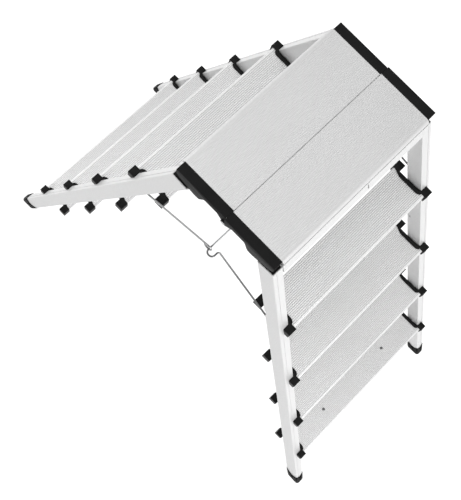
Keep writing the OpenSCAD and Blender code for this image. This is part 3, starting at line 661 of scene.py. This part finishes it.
def paint_bar_highlight(mat, half_width, gain):
    """Painted highlight: the tone rises by a gain within a distance from the ladder's middle."""
    tree = mat.node_tree
    parts = place_on(tree)
    reach = node(tree, "ShaderNodeMath", operation="ABSOLUTE")
    link(tree, parts, "Y", reach, 0)
    shade_by(mat, reach.outputs[0], half_width + highlight_fade, half_width - highlight_fade, 1.0, gain)


# Painted highlight on the bail's cross bar.
paint_bar_highlight(bail_finish, bar_half, highlight_gain)
paint(["side_rod_near", "side_rod_far"], rod_finish)
paint(["bail"], bail_finish)

# Floor, light and camera. A white floor that keeps a soft shadow, a soft sky and three broad
# lamps, and the camera high above the near side, where the photograph was taken from.
floor_half, floor_drop, floor_grey, floor_glow, floor_rough = 30, 0.5 * mm, 0.4, 0.8, 0.9
floor_mesh = bpy.data.meshes.new("floor")
floor_corners = [(x * floor_half, y * floor_half, 0) for x, y in ((-1, -1), (1, -1), (1, 1), (-1, 1))]
floor_mesh.from_pydata(floor_corners, [], [(0, 1, 2, 3)])
floor = bpy.data.objects.new("floor", floor_mesh)
bpy.context.scene.collection.objects.link(floor)
floor.location.z = -floor_drop
floor_paint = bpy.data.materials.new("floor_white")
floor_paint.use_nodes = True
tree = floor_paint.node_tree
shader = tree.nodes["Principled BSDF"]
shader.inputs["Base Color"].default_value = (floor_grey, floor_grey, floor_grey, 1)
shader.inputs["Roughness"].default_value = floor_rough
shader.inputs["Specular IOR Level"].default_value = 0.0
glow = node(tree, "ShaderNodeEmission")
seen_by = node(tree, "ShaderNodeLightPath")
either = node(tree, "ShaderNodeMath", operation="MAXIMUM")
any_of = node(tree, "ShaderNodeMath", operation="MAXIMUM")
link(tree, seen_by, "Is Camera Ray", either, 0)
link(tree, seen_by, "Is Glossy Ray", either, 1)
link(tree, either, 0, any_of, 0)
link(tree, seen_by, "Is Transmission Ray", any_of, 1)
lift = node(tree, "ShaderNodeMath", operation="MULTIPLY")
lift.inputs[1].default_value = floor_glow
link(tree, any_of, 0, lift, 0)
link(tree, lift, 0, glow, "Strength")
both = node(tree, "ShaderNodeAddShader")
link(tree, shader, "BSDF", both, 0)
link(tree, glow, "Emission", both, 1)
link(tree, both, "Shader", tree.nodes["Material Output"], "Surface")
floor_mesh.materials.append(floor_paint)

world = bpy.data.worlds.new("studio")
bpy.context.scene.world = world
world.use_nodes = True
tree = world.node_tree
sky = tree.nodes["Background"]
sky.inputs["Color"].default_value = (1, 1, 1, 1)
# The sky is brighter near the horizon than overhead, like white walls round a studio, and
# brighter in front of the two flights of steps than beside the ladder.
horizon_light, overhead_light, overhead_from = 0.95, 0.56, 0.8
beside_share, in_front_share = 0.66, 1.25
aim = node(tree, "ShaderNodeTexCoord")
split = node(tree, "ShaderNodeSeparateXYZ")
height = node(tree, "ShaderNodeMapRange")
height.inputs["From Min"].default_value = 0.0
height.inputs["From Max"].default_value = overhead_from
height.inputs["To Min"].default_value = horizon_light
height.inputs["To Max"].default_value = overhead_light
link(tree, aim, "Generated", split, "Vector")
link(tree, split, "Z", height, "Value")
facing = node(tree, "ShaderNodeMath", operation="ABSOLUTE")
link(tree, split, "X", facing, 0)
walls = node(tree, "ShaderNodeMapRange")
walls.inputs["To Min"].default_value = beside_share
walls.inputs["To Max"].default_value = in_front_share
tree.links.new(facing.outputs[0], walls.inputs["Value"])
total = node(tree, "ShaderNodeMath", operation="MULTIPLY")
tree.links.new(height.outputs[0], total.inputs[0])
tree.links.new(walls.outputs[0], total.inputs[1])
tree.links.new(total.outputs[0], sky.inputs["Strength"])


def lamp(name, place, target, size, power):
    """A square soft box that faces its target."""
    light = bpy.data.lights.new(name, "AREA")
    light.shape = "SQUARE"
    light.size = size
    light.energy = power
    holder = bpy.data.objects.new(name, light)
    bpy.context.scene.collection.objects.link(holder)
    holder.location = place
    holder.rotation_euler = (Vector(target) - Vector(place)).to_track_quat("-Z", "Y").to_euler()


lamp("key", place=(3.4, -1.0, 2.4), target=(0, 0, 0.8), size=2.4, power=95)
lamp("fill", place=(-3.6, -0.6, 2.0), target=(0, 0, 0.8), size=2.2, power=52)
lamp("top", place=(-0.6, 0.6, 4.5), target=(0, 0, 1), size=3.0, power=30)

# The camera looks down at a target on the ladder's middle, from a distance in metres, with its
# angles in radians, its focal length in pixels and the photograph's longer side in pixels.
azimuth, elevation, roll = 0.2781, 1.3067, 0.5248
target, distance = Vector((-0.03586, 0.03878, 0.1199)), 2.54512
focal_pixels, photo_side, sensor = 846.9, 500, 36
nearest, farthest = 0.05, 60
flat = math.cos(elevation)
back = Vector((math.sin(azimuth) * flat, -math.cos(azimuth) * flat, math.sin(elevation)))
right = (-back).cross(Vector((0, 0, 1))).normalized()
up = right.cross(-back)
side = math.cos(roll) * right + math.sin(roll) * up
rise = math.cos(roll) * up - math.sin(roll) * right
eye = bpy.data.cameras.new("camera")
eye.sensor_width = sensor
eye.lens = focal_pixels * sensor / photo_side
eye.clip_start, eye.clip_end = nearest, farthest
camera = bpy.data.objects.new("camera", eye)
bpy.context.scene.collection.objects.link(camera)
turned = Matrix((side, rise, back)).transposed().to_4x4()
camera.matrix_world = Matrix.Translation(target + distance * back) @ turned
bpy.context.scene.camera = camera
bpy.context.scene.view_settings.view_transform = "Standard"
